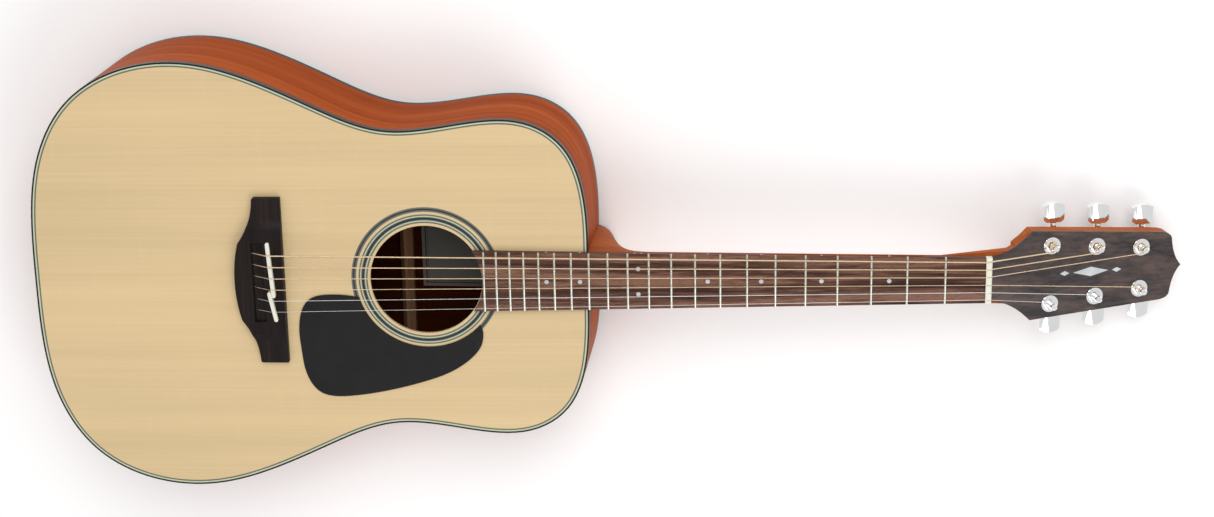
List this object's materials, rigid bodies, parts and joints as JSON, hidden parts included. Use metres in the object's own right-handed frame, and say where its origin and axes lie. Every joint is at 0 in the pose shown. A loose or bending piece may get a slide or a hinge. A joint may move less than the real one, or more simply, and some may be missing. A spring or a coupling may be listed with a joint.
{
  "type": "acoustic guitar",
  "caption": "Steel-string acoustic guitar with a dreadnought body, slotless tilted headstock, pinless bridge, split saddle and geared tuners that turn.",
  "frame": {"origin": "on the flat outer face of the back, under the middle of the sound hole", "axes": "+X along the neck to the headstock, +Y to the bass side, +Z out of the top"},
  "size_m": [1.0604, 0.4066, 0.1275],
  "materials": {
    "spruce_top": "satin, pale straight grain",
    "mahogany": "gloss, red-brown straight grain",
    "neck_mahogany": "satin, orange-brown",
    "rosewood": "satin, dark with brown streaks",
    "brace_wood": "bare sanded",
    "black_binding": "gloss",
    "purfling": "fine light and dark lines",
    "rosette_lines": "concentric light and dark lines",
    "pickguard": "satin black",
    "bone": "polished off-white",
    "label_paper": "matt",
    "chrome": "polished",
    "steel": "plain",
    "fret_wire": "polished nickel silver",
    "pearl_dots": "pearl",
    "wound_bronze": "wound wire",
    "plain_steel": "bright wire"
  },
  "bodies": {
    "guitar_body": {"soundboard": "spruce_top", "back": "mahogany", "side_bass": "mahogany", "side_treble": "mahogany", "top_binding": "black_binding", "top_purfling": "purfling", "back_binding": "black_binding", "rosette": "rosette_lines", "pickguard": "pickguard", "bridge": "rosewood", "saddle_bass": "bone", "saddle_treble": "bone", "bridge_plate": "brace_wood", "top_braces": "brace_wood", "back_braces": "brace_wood", "linings": "brace_wood", "neck_block": "brace_wood", "tail_block": "brace_wood", "label": "label_paper", "end_pin": "chrome", "neck": "neck_mahogany", "heel_cap": "black_binding", "truss_rod": "steel", "fingerboard": "rosewood", "frets": "fret_wire", "position_dots": "pearl_dots", "nut": "bone", "headplate": "rosewood", "post_bushings": "chrome", "housing_screws": "steel", "string_1": "wound_bronze", "string_2": "wound_bronze", "string_3": "wound_bronze", "string_4": "wound_bronze", "string_5": "plain_steel", "string_6": "plain_steel", "tuner_housing_1": "chrome", "tuner_housing_2": "chrome", "tuner_housing_3": "chrome", "tuner_housing_4": "chrome", "tuner_housing_5": "chrome", "tuner_housing_6": "chrome"},
    "button_1": {"tuner_button_1": "chrome", "worm_shaft_1": "steel"},
    "button_2": {"tuner_button_2": "chrome", "worm_shaft_2": "steel"},
    "button_3": {"tuner_button_3": "chrome", "worm_shaft_3": "steel"},
    "button_4": {"tuner_button_4": "chrome", "worm_shaft_4": "steel"},
    "button_5": {"tuner_button_5": "chrome", "worm_shaft_5": "steel"},
    "button_6": {"tuner_button_6": "chrome", "worm_shaft_6": "steel"},
    "post_1": {"string_post_1": "chrome"},
    "post_2": {"string_post_2": "chrome"},
    "post_3": {"string_post_3": "chrome"},
    "post_4": {"string_post_4": "chrome"},
    "post_5": {"string_post_5": "chrome"},
    "post_6": {"string_post_6": "chrome"}
  },
  "joints": [
    {"name": "button_turn_1", "type": "hinge", "parent": "guitar_body", "child": "button_1", "pos_m": [0.56716, 0.0275, 0.04272], "axis": [0, 1, 0], "continuous": true},
    {"name": "button_turn_2", "type": "hinge", "parent": "guitar_body", "child": "button_2", "pos_m": [0.60835, 0.0236, 0.03039], "axis": [0, 1, 0], "continuous": true},
    {"name": "button_turn_3", "type": "hinge", "parent": "guitar_body", "child": "button_3", "pos_m": [0.64955, 0.0197, 0.01807], "axis": [0, 1, 0], "continuous": true},
    {"name": "button_turn_4", "type": "hinge", "parent": "guitar_body", "child": "button_4", "pos_m": [0.64955, -0.0197, 0.01807], "axis": [0, -1, 0], "continuous": true},
    {"name": "button_turn_5", "type": "hinge", "parent": "guitar_body", "child": "button_5", "pos_m": [0.60835, -0.0236, 0.03039], "axis": [0, -1, 0], "continuous": true},
    {"name": "button_turn_6", "type": "hinge", "parent": "guitar_body", "child": "button_6", "pos_m": [0.56716, -0.0275, 0.04272], "axis": [0, -1, 0], "continuous": true},
    {"name": "post_turn_1", "type": "hinge", "parent": "guitar_body", "child": "post_1", "pos_m": [0.55901, 0.0275, 0.04516], "axis": [0.2867, 0, 0.958], "continuous": true},
    {"name": "post_turn_2", "type": "hinge", "parent": "guitar_body", "child": "post_2", "pos_m": [0.60021, 0.0236, 0.03283], "axis": [0.2867, 0, 0.958], "continuous": true},
    {"name": "post_turn_3", "type": "hinge", "parent": "guitar_body", "child": "post_3", "pos_m": [0.64141, 0.0197, 0.0205], "axis": [0.2867, 0, 0.958], "continuous": true},
    {"name": "post_turn_4", "type": "hinge", "parent": "guitar_body", "child": "post_4", "pos_m": [0.64141, -0.0197, 0.0205], "axis": [0.2867, 0, 0.958], "continuous": true},
    {"name": "post_turn_5", "type": "hinge", "parent": "guitar_body", "child": "post_5", "pos_m": [0.60021, -0.0236, 0.03283], "axis": [0.2867, 0, 0.958], "continuous": true},
    {"name": "post_turn_6", "type": "hinge", "parent": "guitar_body", "child": "post_6", "pos_m": [0.55901, -0.0275, 0.04516], "axis": [0.2867, 0, 0.958], "continuous": true}
  ],
  "couplings": [
    {"joint": "post_turn_1", "follows": "button_turn_1", "ratio": -0.066667},
    {"joint": "post_turn_2", "follows": "button_turn_2", "ratio": -0.066667},
    {"joint": "post_turn_3", "follows": "button_turn_3", "ratio": -0.066667},
    {"joint": "post_turn_4", "follows": "button_turn_4", "ratio": -0.066667},
    {"joint": "post_turn_5", "follows": "button_turn_5", "ratio": -0.066667},
    {"joint": "post_turn_6", "follows": "button_turn_6", "ratio": -0.066667}
  ]
}
